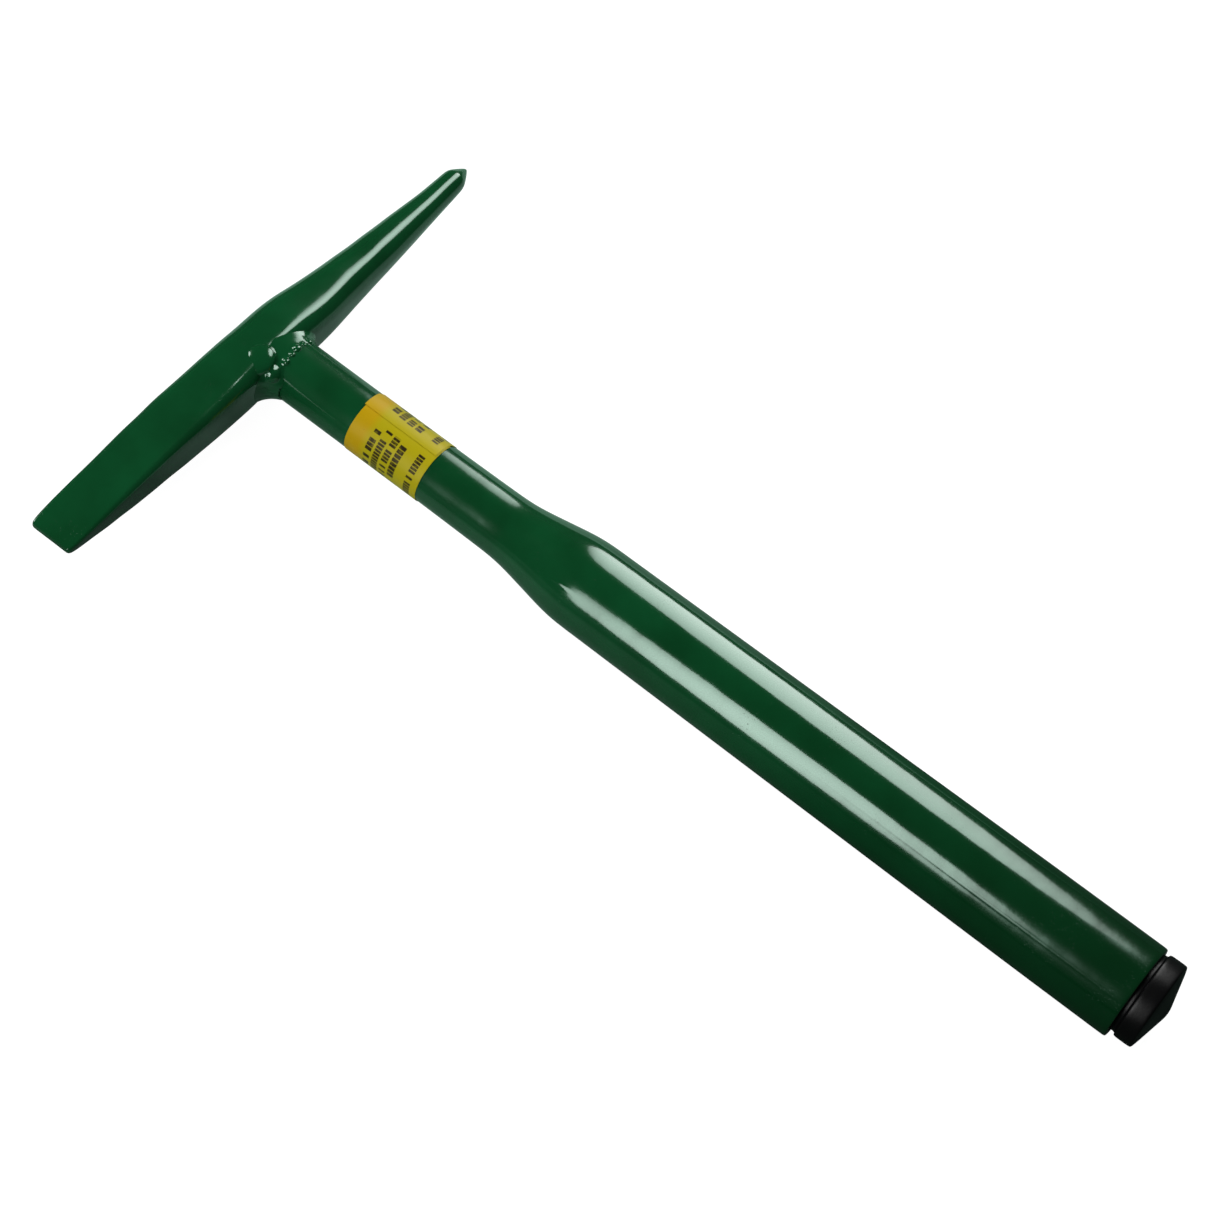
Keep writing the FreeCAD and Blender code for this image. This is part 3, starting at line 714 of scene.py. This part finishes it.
label.rotation_euler.x = lap_end_turn - (math.pi / 2 + wrap_angle / 2)
label.location = ((label_low.x + label_high.x) / 2, axis_y, axis_z)
bpy.ops.object.transform_apply(location=True, rotation=True, scale=True)
bpy.ops.object.mode_set(mode="EDIT")
finish_shape(label, 30)
thickness = label.modifiers.new("thickness", "SOLIDIFY")
thickness.thickness = film
thickness.offset = -1
bpy.ops.object.modifier_apply(modifier=thickness.name)
bpy.ops.object.mode_set(mode="EDIT")
finish_shape(label, 30)

# The print runs along the strip: five rows of dashes in two blocks, a plain band beside them.
row_pitch = 0.114  # of the label's width
first_row = 0.26
film_material, tree, place, marks, shader = marked_material("printed_yellow_film", 1300.0, 120.0, 0.6)
strip = add_node(tree, "ShaderNodeUVMap", uv_map="UVMap")
sides = add_node(tree, "ShaderNodeSeparateXYZ", None, {"Vector": strip.outputs["UV"]})
across = sides.outputs["X"]  # 0 at the head side, 1 at the butt side
along = sides.outputs["Y"]  # 0 at the lapped end, 1 at the start underneath


def math_node(operation, first, second):
    """One sum on two values, each a socket or a number."""
    node = add_node(tree, "ShaderNodeMath", None, None, operation=operation)
    for socket, value in zip(node.inputs, (first, second)):
        if isinstance(value, (int, float)):
            socket.default_value = value
        else:
            tree.links.new(value, socket)
    return node.outputs[0]


def between(value, low, high):
    """1 where a value lies between two limits, and 0 elsewhere."""
    return math_node("MULTIPLY", math_node("GREATER_THAN", value, low), math_node("LESS_THAN", value, high))


row_place = math_node("DIVIDE", math_node("SUBTRACT", across, first_row), row_pitch)
in_row = math_node("LESS_THAN", math_node("FRACT", row_place, 0), 0.74)
row_number = math_node("FLOOR", row_place, 0)
printed_rows = math_node("MULTIPLY", between(row_number, -0.5, 5.5),
                         math_node("SUBTRACT", 1, between(row_number, 3.5, 4.5)))
stroke_place = add_node(tree, "ShaderNodeCombineXYZ", None,
                        {"X": math_node("MULTIPLY", along, 52), "Y": math_node("ADD", row_number, 0.5)})
strokes = add_node(tree, "ShaderNodeTexBrick",
                   {"Color1": (0, 0, 0, 1), "Color2": (1, 1, 1, 1), "Mortar": (0, 0, 0, 1), "Scale": 1.0,
                    "Mortar Size": 0.09, "Mortar Smooth": 0.0, "Brick Width": 0.82, "Row Height": 1.0},
                   {"Vector": stroke_place.outputs["Vector"]}, offset=0.37, squash=1.35, squash_frequency=3)
stroke_value = add_node(tree, "ShaderNodeSeparateColor", None, {"Color": strokes.outputs["Color"]})
inked_stroke = math_node("GREATER_THAN", stroke_value.outputs["Red"], 0.22)
blocks = math_node("ADD", between(along, 0.045, 0.42), between(along, 0.53, 0.865))
worn = add_node(tree, "ShaderNodeTexNoise", {"Scale": 1100.0, "Detail": 2.0}, {"Vector": place})
ink_left = add_node(tree, "ShaderNodeMapRange",
                    {"From Min": 0.3, "From Max": 0.5, "To Min": 0.75, "To Max": 1.0},
                    {"Value": worn.outputs["Fac"]})
ink = in_row
for mask in (printed_rows, inked_stroke, blocks, ink_left.outputs["Result"]):
    ink = math_node("MULTIPLY", ink, mask)

warm_yellow = (0.5, 0.31, 0.002, 1)  # the plain band
clear_yellow = (0.43, 0.36, 0.004, 1)  # under the print
ink_colour = (0.018, 0.011, 0.003, 1)
dust_colour = (0.12, 0.1, 0.03, 1)
plain_band = add_node(tree, "ShaderNodeMapRange", {"From Min": 0.17, "From Max": 0.27}, {"Value": across})
ground = add_node(tree, "ShaderNodeMix", {"A": warm_yellow, "B": clear_yellow},
                  {"Factor": plain_band.outputs["Result"]}, data_type="RGBA")
printed = add_node(tree, "ShaderNodeMix", {"B": ink_colour},
                   {"Factor": ink, "A": ground.outputs["Result"]}, data_type="RGBA")
soiled = add_node(tree, "ShaderNodeMix", {"B": dust_colour},
                  {"Factor": marks.outputs["Specks"], "A": printed.outputs["Result"]}, data_type="RGBA")
tree.links.new(soiled.outputs["Result"], shader.inputs["Base Color"])
film_roughness = add_node(tree, "ShaderNodeMapRange", {"To Min": 0.34, "To Max": 0.5},
                          {"Value": marks.outputs["Smudges"]})
tree.links.new(film_roughness.outputs["Result"], shader.inputs["Roughness"])
shader.inputs["Specular Tint"].default_value = (1.0, 0.9, 0.45, 1)
shader.inputs["Specular IOR Level"].default_value = 0.3
creases = add_node(tree, "ShaderNodeTexNoise", {"Scale": 260.0, "Detail": 2.0}, {"Vector": place})
crease_bump = add_node(tree, "ShaderNodeBump", {"Strength": 0.5, "Distance": 0.0001},
                       {"Height": creases.outputs["Fac"]})
ink_bump = add_node(tree, "ShaderNodeBump", {"Strength": 0.4, "Distance": 0.00002},
                    {"Height": ink, "Normal": crease_bump.outputs["Normal"]})
tree.links.new(ink_bump.outputs["Normal"], shader.inputs["Normal"])
label.data.materials.append(film_material)
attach(label, "root")
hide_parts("label")
